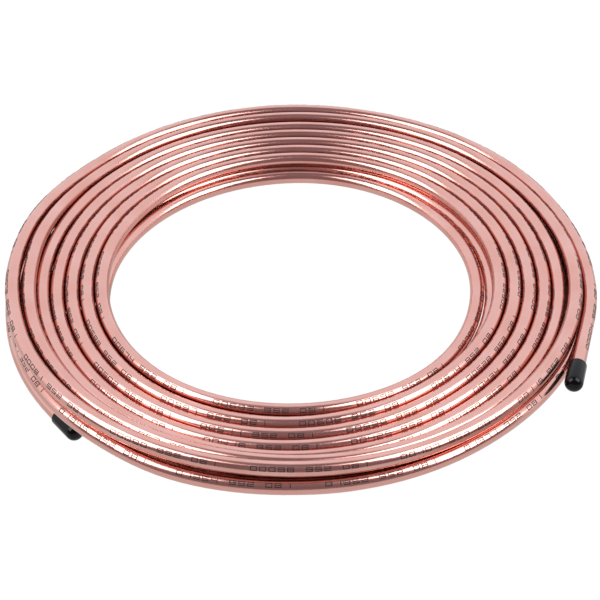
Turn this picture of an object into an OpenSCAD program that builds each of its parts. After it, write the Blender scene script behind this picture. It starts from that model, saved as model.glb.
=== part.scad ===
// Copper tube coil: one soft drawn copper tube wound flat in two layers, with a
// vinyl cap on each of its two ends. Millimetres, +Z up, the winding axis on Z
// and the lowest turns on Z = 0. The front is towards -Y.
// The upper layer winds inwards and falls into the lower layer at its inside,
// and the lower layer winds back out, so both ends are on the outside. Behind
// the X axis the half turns are centred on the winding axis, and in front of it
// on a point half a pitch to one side, which makes each layer a true spiral.
// The layers are one turned solid with a bore, whose turns show on its faces.
// Soft tube springs, so the outermost turns at the front are arcs that rise out
// of their layer, over the end that is tucked under them.

/* [Tube] */
// Outside diameter of the tube
tube_d = 9.525; // [8:0.005:12]
// Wall of the tube, which shows at its two open ends
tube_wall = 0.81; // [0.5:0.01:1.5]

/* [Layers] */
// Radius of the outermost turns, to the middle of the tube
outer_turn_r = 190.5; // [175:0.5:260]
// Number of turns in the upper layer
upper_turns = 7; // [5:1:8]
// Gap between neighbouring upper turns
upper_gap = 0.145; // [0.1:0.005:1]
// Number of turns in the lower layer
lower_turns = 8; // [5:1:8]
// Gap between neighbouring lower turns
lower_gap = 0.975; // [0.6:0.005:1.5]

/* [Lifted turns] */
// How far the outermost lower turn rises at the front, over the tucked end
lower_lift = 6; // [4:0.1:8]
// How much further the outermost upper turn springs up
outermost_extra_lift = 6.2; // [2:0.1:8]
// How much further the second upper turn springs up
second_extra_lift = 0.2; // [0.1:0.1:2]
// Bend radius where a turn leaves its layer
lift_bend_r = 80; // [40:5:120]

/* [Upper end] */
// Angle that the end follows its turn past the right-hand side
upper_end_angle = 16; // [10:1:25]
// Length of straight tube after that
upper_end_l = 56; // [40:1:70]

/* [Lower end] */
// Angle that the end follows its turn past the left-hand side
lower_end_angle = 31; // [20:1:45]
// Length of straight tube after that
lower_end_l = 45; // [40:1:60]

/* [End caps] */
// Length of a cap
cap_l = 22; // [18:0.5:40]
// Wall of a cap
cap_wall = 1; // [0.8:0.1:2]
// Gap between a cap and the tube inside it
cap_fit = 0.05; // [0.02:0.01:0.2]
// Length of tube inside a cap
cap_grip = 16; // [8:0.5:16]
// Radius of the rounded corner at the closed end of a cap
cap_corner_r = 4.5; // [2:0.1:4.8]
// Room between a cap and the turn or the ground below it
cap_room = 0.1; // [0.05:0.05:1]

/* [Hidden] */
$fn = 96;
// Pitches are rounded to 0.02, so that both halves of a layer share their centres
upper_pitch = round((tube_d + upper_gap) * 50) / 50;
lower_pitch = round((tube_d + lower_gap) * 50) / 50;
upper_inner_r = outer_turn_r - (upper_turns - 1) * upper_pitch;
lower_inner_r = outer_turn_r - (lower_turns - 1) * lower_pitch;
lower_z = tube_d / 2;
upper_z = tube_d * 3 / 2;
upper_lifts = [lower_lift + outermost_extra_lift, lower_lift + second_extra_lift];
lifted_turns = len(upper_lifts);
// The webs inside the solid stay below the tops of the turns, so they show
web_t = tube_d * 0.32;
// Arcs stop this far from a joint, inside the knuckle that closes it
joint_gap = 0.2;
knuckle_d = tube_d * 1.01;
cap_d = tube_d + 2 * (cap_fit + cap_wall);

// Arc of tube about the Z axis, in the plane z = 0
module tube_arc(r, start, angle) {
    trim = joint_gap / r * 180 / PI;
    rotate_extrude(angle = angle - 2 * trim, start = start + trim)
        translate([r, 0]) circle(d = tube_d);
}

// Ball at the joint of two arcs, a hair thicker than the tube
module knuckle() sphere(d = knuckle_d);

// Upright bend from the origin along a direction, turning up by the angle, or
// down where the angle is negative
module upright_bend(direction, angle)
    rotate([0, 0, direction]) translate([0, 0, sign(angle) * lift_bend_r]) rotate([90, 0, 0])
        tube_arc(lift_bend_r, angle > 0 ? -90 : 90 + angle, abs(angle));

// How far an upright bend runs along and rises
function bend_run(slope) = lift_bend_r * sin(slope);
function bend_rise(slope) = lift_bend_r * (1 - cos(slope));

// Slope of a half turn of radius r that rises by lift, its bends included
function half_turn_slope(r, lift) =
    atan2(lift_bend_r, r) + asin((lift - lift_bend_r) / norm([r, lift_bend_r]));

// How far in front of the X axis a cap's rim is, and the slope that raises a
// free end by rise there
function rim_front(angle, length) =
    outer_turn_r * sin(angle) + (length - cap_grip) * cos(angle);
function rim_slope(angle, length, rise) = asin(rise / rim_front(angle, length));

// The upper end rests on the outermost lower turn, and its cap clears that
// turn. The lower end rises until its cap clears the ground.
cap_proud = cap_d / 2 - tube_d / 2 + cap_room;
upper_end_slope = half_turn_slope(outer_turn_r - lower_pitch / 2, lower_lift)
    + rim_slope(upper_end_angle, upper_end_l, cap_proud);
lower_end_slope = rim_slope(lower_end_angle, lower_end_l, cap_proud);

// Profile of one layer: a row of turns and the web that joins them
module layer_profile(first_r, pitch, count, z) {
    for (i = [0:count - 1])
        translate([first_r + i * pitch, z]) circle(d = tube_d);
    translate([first_r, z - web_t / 2]) square([(count - 1) * pitch, web_t]);
}

// Profile of the upper layer, with the web that joins it to the lower one
module upper_profile(first_r, count) {
    layer_profile(first_r, upper_pitch, count, upper_z);
    translate([first_r, lower_z]) square([(count - 1) * upper_pitch, upper_z - lower_z]);
}

module lower_profile(first_r, count)
    layer_profile(first_r, lower_pitch, count, lower_z);

// The turned solid: both layers behind, and in front the turns that lie flat
module flat_turns() {
    rotate_extrude(angle = 180) {
        upper_profile(upper_inner_r, upper_turns);
        lower_profile(lower_inner_r, lower_turns);
    }
    translate([-upper_pitch / 2, 0]) rotate_extrude(angle = 180, start = 180)
        upper_profile(upper_inner_r + upper_pitch / 2, upper_turns - lifted_turns - 1);
    translate([lower_pitch / 2, 0]) rotate_extrude(angle = 180, start = 180)
        lower_profile(lower_inner_r + lower_pitch / 2, lower_turns - 2);
}

// Front half turn from left_r to right_r that springs up by lift in the middle
module lifted_half_turn(left_r, right_r, z, lift) {
    r = (left_r + right_r) / 2;
    slope = half_turn_slope(r, lift);
    run = bend_run(slope);
    rise = bend_rise(slope);
    for (x = [-left_r, right_r]) {
        translate([x, 0, z]) knuckle();
        translate([x, 0, z]) upright_bend(-90, slope);
        translate([x, -run, z + rise]) knuckle();
    }
    translate([right_r - r, -run, z + rise]) rotate([-slope, 0, 0]) tube_arc(r, 180, 180);
}

// Innermost upper turn at the front: level for a quarter turn, then falling
// into the lower layer
module falling_half_turn() {
    width = upper_inner_r + lower_inner_r;
    slope = 2 * atan(tube_d / width);
    run = bend_run(slope);
    drop = bend_rise(slope);
    r = (width - run) / (1 + cos(slope));
    front_x = r - upper_inner_r;
    translate([-upper_inner_r, 0, upper_z]) knuckle();
    translate([front_x, 0, upper_z]) tube_arc(r, 180, 90);
    translate([front_x, -r, upper_z]) knuckle();
    translate([front_x, -r, upper_z]) upright_bend(0, -slope);
    translate([front_x + run, -r, upper_z - drop]) knuckle();
    translate([front_x + run, 0, upper_z - drop]) rotate([0, slope, 0]) tube_arc(r, 270, 90);
    translate([lower_inner_r, 0, lower_z]) knuckle();
}

// Puts its children on the axis of a free end, with +Z along the tube and the
// origin where the tube turns straight. The end leaves its layer at a slope, on
// the right (side = 1) or on the left (side = -1).
module at_end(side, z, angle, slope)
    translate([0, -bend_run(slope), z + bend_rise(slope)]) rotate([-slope, 0, 0])
        mirror([side < 0 ? 1 : 0, 0, 0]) rotate([0, 0, -angle])
            translate([outer_turn_r, 0, 0]) rotate([90, 0, 0]) children();

module at_upper_end() at_end(1, upper_z, upper_end_angle, upper_end_slope) children();
module at_lower_end() at_end(-1, lower_z, lower_end_angle, lower_end_slope) children();

// Free end: a bend out of the layer, an arc that follows the turn, and a
// straight stretch
module free_end(side, z, angle, slope, length) {
    translate([side * outer_turn_r, 0, z]) knuckle();
    translate([side * outer_turn_r, 0, z]) upright_bend(-90, slope);
    translate([side * outer_turn_r, -bend_run(slope), z + bend_rise(slope)]) knuckle();
    translate([0, -bend_run(slope), z + bend_rise(slope)]) rotate([-slope, 0, 0])
        tube_arc(outer_turn_r, side > 0 ? -angle : 180, angle);
    at_end(side, z, angle, slope) {
        knuckle();
        translate([0, 0, joint_gap]) cylinder(d = tube_d, h = length - joint_gap);
    }
}

// Open bore of a free end, as far as the tube is straight
module end_bore(length)
    translate([0, 0, tube_d]) cylinder(d = tube_d - 2 * tube_wall, h = length);

module tube_coil() color("#c98f80") difference() {
    union() {
        flat_turns();
        for (i = [0:lifted_turns - 1])
            lifted_half_turn(outer_turn_r - i * upper_pitch, outer_turn_r - (i + 1) * upper_pitch,
                             upper_z, upper_lifts[i]);
        lifted_half_turn(outer_turn_r - lower_pitch, outer_turn_r, lower_z, lower_lift);
        falling_half_turn();
        free_end(1, upper_z, upper_end_angle, upper_end_slope, upper_end_l);
        free_end(-1, lower_z, lower_end_angle, lower_end_slope, lower_end_l);
    }
    at_upper_end() end_bore(upper_end_l);
    at_lower_end() end_bore(lower_end_l);
}

// Cap pushed on along +Z, with its rim at z = 0
module end_cap() color("#1c1c1e") difference() {
    rotate_extrude() {
        square([cap_d / 2, cap_l - cap_corner_r]);
        square([cap_d / 2 - cap_corner_r, cap_l]);
        translate([cap_d / 2 - cap_corner_r, cap_l - cap_corner_r]) intersection() {
            circle(r = cap_corner_r);
            square(cap_corner_r);
        }
    }
    translate([0, 0, -1]) cylinder(d = tube_d + 2 * cap_fit, h = cap_grip + 1);
}

module upper_end_cap() at_upper_end() translate([0, 0, upper_end_l - cap_grip]) end_cap();
module lower_end_cap() at_lower_end() translate([0, 0, lower_end_l - cap_grip]) end_cap();

tube_coil();
upper_end_cap();
lower_end_cap();
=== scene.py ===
import bpy
import numpy as np
from mathutils import Matrix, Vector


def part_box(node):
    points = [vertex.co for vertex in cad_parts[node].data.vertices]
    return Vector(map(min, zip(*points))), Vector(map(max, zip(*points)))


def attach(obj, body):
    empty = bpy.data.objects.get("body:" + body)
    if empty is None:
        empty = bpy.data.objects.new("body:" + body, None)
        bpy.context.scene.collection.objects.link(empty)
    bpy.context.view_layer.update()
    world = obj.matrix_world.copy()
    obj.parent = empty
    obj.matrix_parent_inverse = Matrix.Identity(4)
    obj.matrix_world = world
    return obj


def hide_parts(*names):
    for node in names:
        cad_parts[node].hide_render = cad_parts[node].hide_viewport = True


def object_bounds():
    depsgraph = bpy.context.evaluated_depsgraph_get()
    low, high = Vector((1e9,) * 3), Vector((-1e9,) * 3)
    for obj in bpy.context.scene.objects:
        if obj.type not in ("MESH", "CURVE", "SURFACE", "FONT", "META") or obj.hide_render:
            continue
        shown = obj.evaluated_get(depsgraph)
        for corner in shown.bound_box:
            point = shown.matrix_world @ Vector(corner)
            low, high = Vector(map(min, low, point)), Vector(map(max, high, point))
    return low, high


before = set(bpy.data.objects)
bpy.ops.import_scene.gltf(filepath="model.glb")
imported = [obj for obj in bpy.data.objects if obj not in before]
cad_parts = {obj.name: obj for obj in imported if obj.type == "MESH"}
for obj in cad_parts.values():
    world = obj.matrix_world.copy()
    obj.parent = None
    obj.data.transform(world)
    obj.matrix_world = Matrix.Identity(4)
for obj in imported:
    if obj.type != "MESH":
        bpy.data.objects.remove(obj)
cad_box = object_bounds()


# The tube: one length of soft drawn copper tube, wound flat in two layers of close turns. The
# upper layer winds inwards from the right-hand end and falls into the lower layer at its inside,
# and the lower layer winds back out. Soft tube springs, so a few turns leave their layer a little.
mm = 0.001
tube_d = 9.525 * mm
tube_wall = 0.81 * mm
outer_turn_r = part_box("tube_coil")[1].x - tube_d / 2
upper_pitch = 9.68 * mm
upper_turns = 7
upper_inner_r = outer_turn_r - (upper_turns - 1) * upper_pitch
upper_z = tube_d * 3 / 2
lower_inner_r = 118.0 * mm
lower_pitch = 9.62 * mm
lower_turns = 8
lower_z = tube_d / 2

# Azimuths are in degrees, 0 on the right and 270 at the front, and count on from turn to turn.
# Turn 0 is the outermost upper turn, and the lower layer starts as turn 7. Each span is the
# azimuths at which a change in a turn starts and is complete.
upper_step_span = (222, 327)
lower_swell = 17 * mm
lower_swell_span = (95, 230)
lower_step_span = (262, 360)
innermost_step = 4.3 * mm
innermost_step_span = (190, 300)
fall_span = (272, 350)

# The upper turns are pressed in a little at the back left, and the inner turns of both layers
# lie off the middle of the outer ones.
dent = 2.6 * mm
dent_span, undent_span = (35, 90), (175, 235)
drift_x, drift_y = -0.75 * mm, -3.3 * mm
drift_span, undrift_span = (530, 720), (2385, 2475)

# Both ends follow their turn, rise a little in front of the X axis, and then run straight.
upper_end_angle = 16
lower_end_angle = 40
first_azimuth = -upper_end_angle
last_azimuth = (upper_turns + lower_turns - 1) * 360 + 180 + lower_end_angle
upper_end_l = 60 * mm
lower_end_l = 19 * mm
upper_end_rise = 0.056
lower_end_rise = 0.014
end_bend = 20 * mm

# Where a turn springs out of its place: its number, the azimuths at which it starts to leave, is
# quite away, starts to come back and is back, and how far outwards and upwards it goes, in mm.
springs = [
    (0, 137, 174, 330, 395, 0.0, 6.9),
    (0, 172, 198, 262, 315, 0.0, 3.4),
    (0, 203, 219, 228, 258, 0.0, 1.8),
    (0, 190, 222, 232, 262, 1.7, 0.0),
    (0, 235, 290, 310, 360, 1.2, 0.0),
    (0, -15, 25, 60, 100, -1.2, -0.6),
    (1, 0, 30, 60, 100, -1.0, 0.0),
    (1, 138, 176, 245, 340, 0.0, 7.2),
    (1, 138, 166, 176, 205, -1.1, 0.0),
    (2, 138, 166, 176, 205, 0.5, 0.0),
    (2, 150, 195, 225, 300, -0.5, 2.3),
    (13, 154, 178, 300, 348, -2.6, 0.0),
    (13, 148, 176, 305, 375, 0.0, 8.1),
    (13, 185, 228, 240, 275, 4.8, 0.0),
    (13, 176, 200, 228, 272, 0.0, 2.0),
    (13, 203, 219, 228, 250, 0.0, 2.2),
    (14, 150, 195, 400, 500, -9.0, 0.0),
]


def ease(value, start, complete):
    """Half a cosine wave, from 0 to 1 as the value goes from start to complete, which may be the
    lower of the two, and level on both sides."""
    share = (value - start) / (complete - start)
    return (1 - np.cos(np.pi * np.clip(share, 0, 1))) / 2


def centre_line(azimuth):
    """Middle of the tube in its turns, as points. An upper turn keeps its radius behind the X axis
    and eases to the next turn's in front of it. A lower turn swells on the left and eases back to
    the next turn's radius. The innermost upper turn steps in and then falls into the lower layer.
    Each dent, drift and spring is added where it acts."""
    turn = np.floor(azimuth / 360)
    across = azimuth - 360 * turn
    upper_r = outer_turn_r - upper_pitch * (turn + ease(across, *upper_step_span))
    lower_r = lower_inner_r + lower_pitch * (turn - upper_turns) \
        + lower_swell * ease(across, *lower_swell_span) \
        - (lower_swell - lower_pitch) * ease(across, *lower_step_span)
    falling = ease(across, *fall_span)
    falling_r = upper_inner_r - innermost_step * ease(across, *innermost_step_span) \
        - (upper_inner_r - innermost_step - lower_inner_r) * falling
    innermost = turn == upper_turns - 1
    dented = dent * ease(across, *dent_span) * ease(across, *reversed(undent_span))
    radius = np.where(turn < upper_turns, upper_r - dented, lower_r)
    radius = np.where(innermost, falling_r - dented, radius)
    height = np.where(turn < upper_turns, upper_z, lower_z)
    height = np.where(innermost, upper_z + (lower_z - upper_z) * falling, height)
    for number, leaves, away, returns, back, outwards, upwards in springs:
        after = azimuth - 360 * number
        share = ease(after, leaves, away) * ease(after, back, returns)
        radius = radius + outwards * mm * share
        height = height + upwards * mm * share
    drift = ease(azimuth, *drift_span) * ease(azimuth, *reversed(undrift_span))
    x = radius * np.cos(np.radians(azimuth)) + drift_x * drift
    y = radius * np.sin(np.radians(azimuth)) + drift_y * drift
    past_x_axis = np.hypot(np.maximum(-y, 0), end_bend) - end_bend
    rise = np.where(azimuth < 0, upper_end_rise, 0)
    rise = np.where(azimuth > last_azimuth - lower_end_angle, lower_end_rise, rise)
    return np.stack([x, y, height + rise * past_x_axis], axis=1)


def with_straight_ends(points, before, after, steps):
    """The points with a straight stretch added at each end, in that many steps, along the way
    that the end points."""
    steps = np.linspace(1, 0, steps, endpoint=False)[:, None]
    start_way = points[0] - points[1]
    end_way = points[-1] - points[-2]
    start = points[0] + start_way / np.linalg.norm(start_way) * before * steps
    end = points[-1] + end_way / np.linalg.norm(end_way) * after * steps[::-1]
    return np.concatenate([start, points, end])


cap_l = 22 * mm
cap_grip = 16 * mm
cap_tip = cap_l - cap_grip
line = centre_line(np.arange(first_azimuth, last_azimuth + 1))
line = with_straight_ends(line, upper_end_l + cap_tip, lower_end_l + cap_tip, steps=40)
line_length = np.concatenate([[0], np.cumsum(np.linalg.norm(np.diff(line, axis=0), axis=1))])
line_way = np.gradient(line, axis=0)
line_way /= np.linalg.norm(line_way, axis=1)[:, None]
line_out = np.stack([line_way[:, 1], -line_way[:, 0], np.zeros(len(line))], axis=1)
line_out /= np.linalg.norm(line_out, axis=1)[:, None]
line_up = np.cross(line_out, line_way)


def around_tube(along, roll, radius):
    """Points round the tube: its middle at that length from the first tip, plus the radius times
    the cosine of the roll outwards from the coil and the sine of the roll upwards."""
    along, roll, radius = np.broadcast_arrays(along, roll, radius)

    def at_length(values):
        return np.stack([np.interp(along, line_length, values[:, i]) for i in range(3)], axis=-1)

    outwards = radius * np.cos(roll)
    upwards = radius * np.sin(roll)
    return at_length(line) + outwards[..., None] * at_length(line_out) \
        + upwards[..., None] * at_length(line_up)


def ring_piece(name, along, radius, sides):
    """A closed piece of rings round the tube's line, each at its own length and radius: quads
    join neighbouring rings, and a fan of triangles closes the first and the last ring on the
    line. The attribute tube_frame keeps each vertex's place as if the tube were straight."""
    roll = np.arange(sides) * 2 * np.pi / sides
    rings = around_tube(along[:, None], roll, radius[:, None])
    straight = np.stack(np.broadcast_arrays(
        radius[:, None] * np.cos(roll), radius[:, None] * np.sin(roll), along[:, None]), axis=-1)
    poles = around_tube(along[[0, -1]], 0.0, 0.0)
    straight_poles = np.stack([np.zeros(2), np.zeros(2), along[[0, -1]]], axis=1)

    ring, side = np.meshgrid(np.arange(len(along) - 1), np.arange(sides), indexing="ij")
    here = ring * sides + side
    next_side = ring * sides + (side + 1) % sides
    quads = np.stack([here, here + sides, next_side + sides, next_side], axis=-1).reshape(-1, 4)
    first_pole = len(along) * sides
    around = np.arange(sides)
    turned = (around + 1) % sides
    first_fan = np.stack([np.full(sides, first_pole), around, turned], axis=1)
    last_ring = first_pole - sides
    last_fan = np.stack([np.full(sides, first_pole + 1), last_ring + turned, last_ring + around],
                        axis=1)

    mesh = bpy.data.meshes.new(name)
    vertices = np.concatenate([rings.reshape(-1, 3), poles])
    mesh.from_pydata(vertices.tolist(), [], quads.tolist() + first_fan.tolist() + last_fan.tolist())
    mesh.shade_smooth()
    tube_frame = mesh.attributes.new("tube_frame", "FLOAT_VECTOR", "POINT")
    tube_frame.data.foreach_set(
        "vector", np.concatenate([straight.reshape(-1, 3), straight_poles]).ravel())
    piece = bpy.data.objects.new(name, mesh)
    bpy.context.collection.objects.link(piece)
    return piece


# The tube's wall turns in at both tips, and the bore is open as far as the tube is straight or
# nearly so.
tube_from = cap_tip
tube_to = line_length[-1] - cap_tip
bore_depth = 40 * mm
ring_gap = 7.5 * mm
stations = np.linspace(tube_from, tube_to, int((tube_to - tube_from) / ring_gap))
bore_r = tube_d / 2 - tube_wall
tube_rings = np.concatenate([[tube_from + bore_depth, tube_from], stations,
                             [tube_to, tube_to - bore_depth]])
tube_radii = np.concatenate([[bore_r, bore_r], np.full(len(stations), tube_d / 2),
                             [bore_r, bore_r]])
tube = ring_piece("copper_tube", tube_rings, tube_radii, sides=24)


def linear(hex_colour):
    """Linear RGBA of an sRGB hex colour: a straight stretch near black, then a power of 2.4."""
    srgb = np.array([int(hex_colour[i:i + 2], 16) for i in (1, 3, 5)]) / 255
    rgb = np.where(srgb <= 0.04045, srgb / 12.92, ((srgb + 0.055) / 1.055) ** 2.4)
    return (*rgb, 1.0)


def add_node(tree, kind, **settings):
    """One node. A setting is a socket's value, or the output that it is linked from, or the
    node's own property. An underscore in a socket's name stands for a space."""
    node = tree.nodes.new("ShaderNode" + kind)
    for name, value in settings.items():
        if hasattr(node, name):
            setattr(node, name, value)
    for name, value in settings.items():
        if hasattr(node, name):
            continue
        sockets = {socket.identifier: socket for socket in node.inputs}
        socket = sockets.get(name) or sockets[name.replace("_", " ")]
        if isinstance(value, bpy.types.NodeSocket):
            tree.links.new(value, socket)
        else:
            socket.default_value = value
    return node


def new_material(name, **settings):
    """A material with one Principled shader of these settings, and its node tree."""
    material = bpy.data.materials.new(name)
    material.use_nodes = True
    tree = material.node_tree
    tree.nodes.clear()
    shader = add_node(tree, "BsdfPrincipled", **settings)
    add_node(tree, "OutputMaterial", Surface=shader.outputs["BSDF"])
    return material, tree, shader


# Soft bright copper, drawn through a die: a smooth metal mirror, blurred a little, with fine
# lines along the tube, and patches where the skin has begun to darken. Painted shade darkens its
# colour on the two sides, where neighbouring turns touch, standing for the shade in the gaps
# between them, but not on the coil's own inner and outer rims.
copper, tree, shader = new_material("drawn_copper", Metallic=1.0)
place = add_node(tree, "Attribute", attribute_name="tube_frame").outputs["Vector"]
line_w = 0.7 * mm  # real ones are finer, and wouldn't show
line_l = 90 * mm
draw_lines = add_node(tree, "Mapping", Vector=place, Scale=(1 / line_w, 1 / line_w, 1 / line_l))
lines = add_node(tree, "TexNoise", Vector=draw_lines.outputs["Vector"], Scale=1.0, Detail=2.0)
patch_size = 35 * mm
patches = add_node(tree, "TexNoise", Vector=place, Scale=1 / patch_size, Detail=3.0)
mixed_colour = 2  # a Mix node's colour output
tone = add_node(tree, "Mix", data_type="RGBA", Factor_Float=patches.outputs["Fac"],
                A_Color=linear("#f4c2ba"), B_Color=linear("#dc9888"))
blur = add_node(tree, "MapRange", Value=lines.outputs["Fac"], From_Min=0.3, From_Max=0.7,
                To_Min=0.14, To_Max=0.23)
relief = add_node(tree, "Bump", Height=lines.outputs["Fac"], Strength=0.25, Distance=0.02 * mm)
# Painted shade: the base colour is darkened on the tube's flanks, where neighbouring turns touch,
# for the shade in the gaps between turns, and kept off the coil's inner and outer rims.
outwards = add_node(tree, "SeparateXYZ", Vector=place).outputs["X"]
off_middle = add_node(tree, "Math", operation="ABSOLUTE", Value=outwards)
gap_shade_starts, gap_shade_full = 0.34 * tube_d, 0.47 * tube_d
gap_shade = add_node(tree, "MapRange", interpolation_type="SMOOTHSTEP", To_Max=0.75,
                  Value=off_middle.outputs["Value"], From_Min=gap_shade_starts, From_Max=gap_shade_full)
in_plan = add_node(tree, "VectorMath", operation="MULTIPLY", Vector_001=(1, 1, 0),
                   Vector=add_node(tree, "TexCoord").outputs["Object"])
from_axis = add_node(tree, "VectorMath", operation="LENGTH", Vector=in_plan.outputs["Vector"])
off_inner_rim = add_node(tree, "MapRange", interpolation_type="SMOOTHSTEP",
                         Value=from_axis.outputs["Value"],
                         From_Min=lower_inner_r + 0.6 * tube_d, From_Max=lower_inner_r + tube_d)
off_outer_rim = add_node(tree, "MapRange", interpolation_type="SMOOTHSTEP",
                         Value=from_axis.outputs["Value"],
                         From_Min=outer_turn_r, From_Max=outer_turn_r - 0.4 * tube_d)
between_rims = add_node(tree, "Math", operation="MULTIPLY", Value=off_inner_rim.outputs["Result"],
                        Value_001=off_outer_rim.outputs["Result"])
painted_gap_shade = add_node(tree, "Math", operation="MULTIPLY", Value=gap_shade.outputs["Result"],
                    Value_001=between_rims.outputs["Value"])
# The painted shade colour is mixed into the copper's base colour here.
shaded_copper_colour = add_node(tree, "Mix", data_type="RGBA", Factor_Float=painted_gap_shade.outputs["Value"],
                A_Color=tone.outputs[mixed_colour], B_Color=linear("#b36557"))
tree.links.new(shaded_copper_colour.outputs[mixed_colour], shader.inputs["Base Color"])
tree.links.new(blur.outputs["Result"], shader.inputs["Roughness"])
tree.links.new(relief.outputs["Normal"], shader.inputs["Normal"])
tube.data.materials.append(copper)
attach(tube, "root")
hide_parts("tube_coil")


# The end caps: dip-moulded black vinyl, pushed over the two ends to keep the bore clean and dry.
# Each is a thin cup with a domed end and a rounded lip, which the tube fills as far as its grip.
cap_wall = 1.0 * mm
cap_fit = 0.05 * mm
cap_r = tube_d / 2 + cap_fit + cap_wall
dome_l = 5.4 * mm
dome_power = 0.9
lip_r = 0.45 * mm


def cap_piece(name, tip, inwards):
    """A cup of rings: a dome whose radius follows a superellipse, a straight side, a rounded
    lip, and the inside back to the flat end of the tube. inwards is 1 or -1 along the line."""
    dome = np.radians(np.linspace(4, 90, 18))
    dome_along = dome_l * (1 - np.cos(dome) ** dome_power)
    dome_r = cap_r * np.sin(dome) ** dome_power
    lip = np.radians(np.linspace(0, 90, 5))
    inner_r = cap_r - cap_wall
    along = np.concatenate([dome_along, cap_l - lip_r + lip_r * np.sin(lip),
                            cap_l - lip_r + lip_r * np.cos(lip), [cap_tip, cap_tip]])
    radius = np.concatenate([dome_r, cap_r - lip_r + lip_r * np.cos(lip),
                             inner_r + lip_r - lip_r * np.sin(lip), [inner_r, 0.5 * inner_r]])
    if inwards < 0:
        along, radius = along[::-1], radius[::-1]
    return ring_piece(name, tip + inwards * along, radius, sides=48)


# Black plastisol, dipped on a pin and cured: deep black and glossy, with the slight waves that it
# had when it set.
vinyl, tree, shader = new_material(
    "dipped_vinyl", Base_Color=linear("#030304"), Specular_IOR_Level=0.25)
place = add_node(tree, "TexCoord").outputs["Object"]
wave_size = 2.5 * mm
waves = add_node(tree, "TexNoise", Vector=place, Scale=1 / wave_size, Detail=2.0)
gloss = add_node(tree, "MapRange", Value=waves.outputs["Fac"], To_Min=0.08, To_Max=0.22)
relief = add_node(tree, "Bump", Height=waves.outputs["Fac"], Strength=0.15, Distance=0.1 * mm)
tree.links.new(gloss.outputs["Result"], shader.inputs["Roughness"])
tree.links.new(relief.outputs["Normal"], shader.inputs["Normal"])
for cap_name, tip, inwards in [("upper_end_cap", 0.0, 1), ("lower_end_cap", line_length[-1], -1)]:
    cap = cap_piece("vinyl_" + cap_name, tip, inwards)
    cap.data.materials.append(vinyl)
    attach(cap, "root")
    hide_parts(cap_name)


# The length marks: plain numbers that an ink jet prints along the tube as it is made. They count
# the length in centimetres, and give the tube's diameter and wall in hundredths of a millimetre.
# They are laid on as a skin of ink that follows the tube, one closed sliver for each stroke.
digit_pitch = 5.2 * mm
digit_w = 3.4 * mm
digit_h = 2.3 * mm
stroke_w = 0.5 * mm
ink_h = 0.05 * mm
# How far up round the tube the line of marks is, where the tube starts and where it ends
first_roll, last_roll = np.radians(40), np.radians(58)
# Strokes of a digit as (from, to) along it and (from, to) up it, in shares of its size, and the
# strokes that each digit from 0 to 9 is made of
strokes = np.array([(0, 1, 1, 1), (1, 1, 0.5, 1), (1, 1, 0, 0.5), (0, 1, 0, 0),
                    (0, 0, 0, 0.5), (0, 0, 0.5, 1), (0, 1, 0.5, 0.5)])
strokes_of = ["012345", "12", "01346", "01236", "1256", "02356", "023456", "012", "0123456",
              "012356"]
mark_spacing = 86 * mm
before_first_mark, after_last_start = 30 * mm, 110 * mm
mark_starts = np.arange(tube_from + before_first_mark, tube_to - after_last_start, mark_spacing)
size_mark = " %03d %03d" % (round(tube_d / mm * 100), round(tube_wall / mm * 100))
cells = [(start + cell * digit_pitch, int(digit))
         for start in mark_starts
         for cell, digit in enumerate("%05d" % round(start * 100) + size_mark) if digit != " "]
drawn = np.array([(start, int(stroke)) for start, digit in cells for stroke in strokes_of[digit]])


def ink_slivers(start, stroke, stations):
    """Corners of the strokes: a box for each, as long and as high as its stroke and the pen's
    width, laid on the tube's surface, with that many stations round the tube."""
    low, high = stroke[:, 0] * digit_w - stroke_w / 2, stroke[:, 1] * digit_w + stroke_w / 2
    foot, head = stroke[:, 2] * digit_h - stroke_w / 2, stroke[:, 3] * digit_h + stroke_w / 2
    along = np.stack([start + low, start + high], axis=1)[:, :, None, None]
    up = foot[:, None] + (head - foot)[:, None] * np.linspace(0, 1, stations)
    middle_roll = first_roll + (last_roll - first_roll) * (start / tube_to)[:, None, None, None]
    roll = middle_roll + (up[:, None, :, None] - digit_h / 2) / (tube_d / 2)
    radius = tube_d / 2 + np.array([-2 * ink_h, ink_h])
    return around_tube(along, roll, radius).reshape(len(start), -1, 3)


def box_faces(stations):
    """Faces of one sliver, whose corners are numbered by end, then station, then depth."""
    def corner(end, station, depth):
        return (end * stations + station) * 2 + depth

    faces = []
    for k in range(stations - 1):
        faces.append([corner(0, k, 1), corner(0, k + 1, 1), corner(1, k + 1, 1), corner(1, k, 1)])
        faces.append([corner(0, k, 0), corner(1, k, 0), corner(1, k + 1, 0), corner(0, k + 1, 0)])
        faces.append([corner(0, k, 0), corner(0, k + 1, 0), corner(0, k + 1, 1), corner(0, k, 1)])
        faces.append([corner(1, k, 0), corner(1, k, 1), corner(1, k + 1, 1), corner(1, k + 1, 0)])
    top = stations - 1
    faces.append([corner(0, 0, 0), corner(0, 0, 1), corner(1, 0, 1), corner(1, 0, 0)])
    faces.append([corner(0, top, 0), corner(1, top, 0), corner(1, top, 1), corner(0, top, 1)])
    return np.array(faces)


ink_vertices, ink_faces, count = [], [], 0
drawn_strokes = strokes[drawn[:, 1].astype(int)]
upright = drawn_strokes[:, 0] == drawn_strokes[:, 1]
for chosen, stations_up in [(upright, 3), (~upright, 2)]:
    corners = ink_slivers(drawn[chosen, 0], drawn_strokes[chosen], stations_up)
    firsts = count + np.arange(len(corners)) * corners.shape[1]
    ink_faces += (firsts[:, None, None] + box_faces(stations_up)).reshape(-1, 4).tolist()
    ink_vertices.append(corners.reshape(-1, 3))
    count += corners.shape[0] * corners.shape[1]
mesh = bpy.data.meshes.new("length_marks")
mesh.from_pydata(np.concatenate(ink_vertices).tolist(), [], ink_faces)
marks = bpy.data.objects.new("length_marks", mesh)
bpy.context.collection.objects.link(marks)
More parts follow.
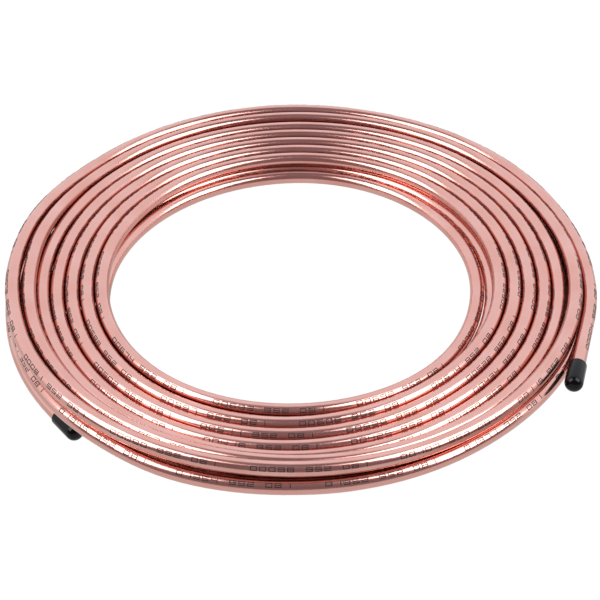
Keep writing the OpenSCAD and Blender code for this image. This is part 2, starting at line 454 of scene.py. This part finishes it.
# Quick-drying black ink: flat, and browner where it has gone on thin.
ink, tree, shader = new_material("marking_ink", Roughness=0.45)
place = add_node(tree, "TexCoord").outputs["Object"]
thin_patch = 6 * mm
wear = add_node(tree, "TexNoise", Vector=place, Scale=1 / thin_patch, Detail=3.0)
ink_tone = add_node(tree, "Mix", data_type="RGBA", Factor_Float=wear.outputs["Fac"],
                    A_Color=linear("#0e0706"), B_Color=linear("#2a1a17"))
tree.links.new(ink_tone.outputs[mixed_colour], shader.inputs["Base Color"])
marks.data.materials.append(ink)
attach(marks, "root")


# The floor: a plain white light table, which is evenly bright, so that nothing throws a shadow.
# The copper sees it a little less bright than the camera does.
floor_half = 6.0
floor_z = cad_box[0].z
glow_seen, glow_cast = 1.02, 0.7
corners = floor_half * np.array([(-1, -1), (1, -1), (1, 1), (-1, 1)])
mesh = bpy.data.meshes.new("light_table")
mesh.from_pydata([(x, y, floor_z) for x, y in corners], [], [(0, 1, 2, 3)])
floor = bpy.data.objects.new("light_table", mesh)
bpy.context.collection.objects.link(floor)
glow, tree, shader = new_material(
    "light_table", Base_Color=linear("#000000"), Roughness=1.0, Specular_IOR_Level=0.0,
    Emission_Color=linear("#ffffff"))
seen = add_node(tree, "LightPath").outputs["Is Camera Ray"]
strength = add_node(tree, "MapRange", Value=seen, To_Min=glow_cast, To_Max=glow_seen)
tree.links.new(strength.outputs["Result"], shader.inputs["Emission Strength"])
floor.data.materials.append(glow)


# The studio: a soft box high on each side, a bright room behind the coil and to its sides, and a
# darker one behind the camera, which the copper shows as the dark bands at its front and back.
def aim(thing, place, target):
    """Puts a lamp or camera at a place, with its -Z on the target and its +X level."""
    way = np.array(target, float) - np.array(place, float)
    away = -way / np.linalg.norm(way)
    side = np.cross([0, 0, 1], away)
    side /= np.linalg.norm(side)
    matrix = np.eye(4)
    matrix[:3, 0], matrix[:3, 1], matrix[:3, 2] = side, np.cross(away, side), away
    matrix[:3, 3] = place
    thing.matrix_world = Matrix(matrix)


coil_middle = np.array([0, 0, tube_d])
box_way = np.array([0.6, -0.24, 0.72])
box_distance = 1.3
box_w, box_h = 0.8, 1.05
box_radiance = 4.2
for side in (-1, 1):
    lamp = bpy.data.lights.new("soft_box", "AREA")
    lamp.shape = "RECTANGLE"
    lamp.size, lamp.size_y = box_w, box_h
    lamp.energy = box_radiance * np.pi * box_w * box_h
    soft_box = bpy.data.objects.new("soft_box", lamp)
    bpy.context.collection.objects.link(soft_box)
    way = np.array([side, 1, 1]) * box_way
    aim(soft_box, coil_middle + way / np.linalg.norm(way) * box_distance, coil_middle)

# The room's brightness goes by the way that is looked: Y plus 0.6 of X's size, from the least at
# which it starts to brighten to that at which it is bright.
dark_room, bright_room = (0.22, 0.18, 0.2, 1), (0.95, 1.01, 1.07, 1)
world = bpy.data.worlds.new("studio")
world.use_nodes = True
tree = world.node_tree
tree.nodes.clear()
way = add_node(tree, "TexCoord").outputs["Generated"]
parts = add_node(tree, "SeparateXYZ", Vector=way)
sideways = add_node(tree, "Math", operation="ABSOLUTE", Value=parts.outputs["X"])
back_or_side = add_node(tree, "Math", operation="MULTIPLY_ADD", Value=sideways.outputs["Value"],
                        Value_001=0.6, Value_002=parts.outputs["Y"])
brightness = add_node(tree, "MapRange", interpolation_type="SMOOTHSTEP",
                      Value=back_or_side.outputs["Value"], From_Min=0.32, From_Max=0.6)
room = add_node(tree, "Mix", data_type="RGBA", Factor_Float=brightness.outputs["Result"],
                A_Color=dark_room, B_Color=bright_room)
background = add_node(tree, "Background", Color=room.outputs[mixed_colour], Strength=1.0)
add_node(tree, "OutputWorld", Surface=background.outputs["Background"])
bpy.context.scene.world = world
bpy.context.scene.view_settings.view_transform = "Standard"

# The camera: a long lens that looks down on the coil. Its view is shifted down by a share of its
# width, because the near side of the coil looks larger than the far side.
camera_elevation = np.radians(40.3)
camera_distance = 1.071
camera_shift = 23 / 600
camera_data = bpy.data.cameras.new("camera")
camera_data.sensor_width = 36
camera_data.lens = 96.48
camera_data.shift_y = -camera_shift
camera_data.clip_start = 0.01
camera = bpy.data.objects.new("camera", camera_data)
bpy.context.collection.objects.link(camera)
view_way = np.array([0, -np.cos(camera_elevation), np.sin(camera_elevation)])
aim(camera, coil_middle + view_way * camera_distance, coil_middle)
bpy.context.scene.camera = camera
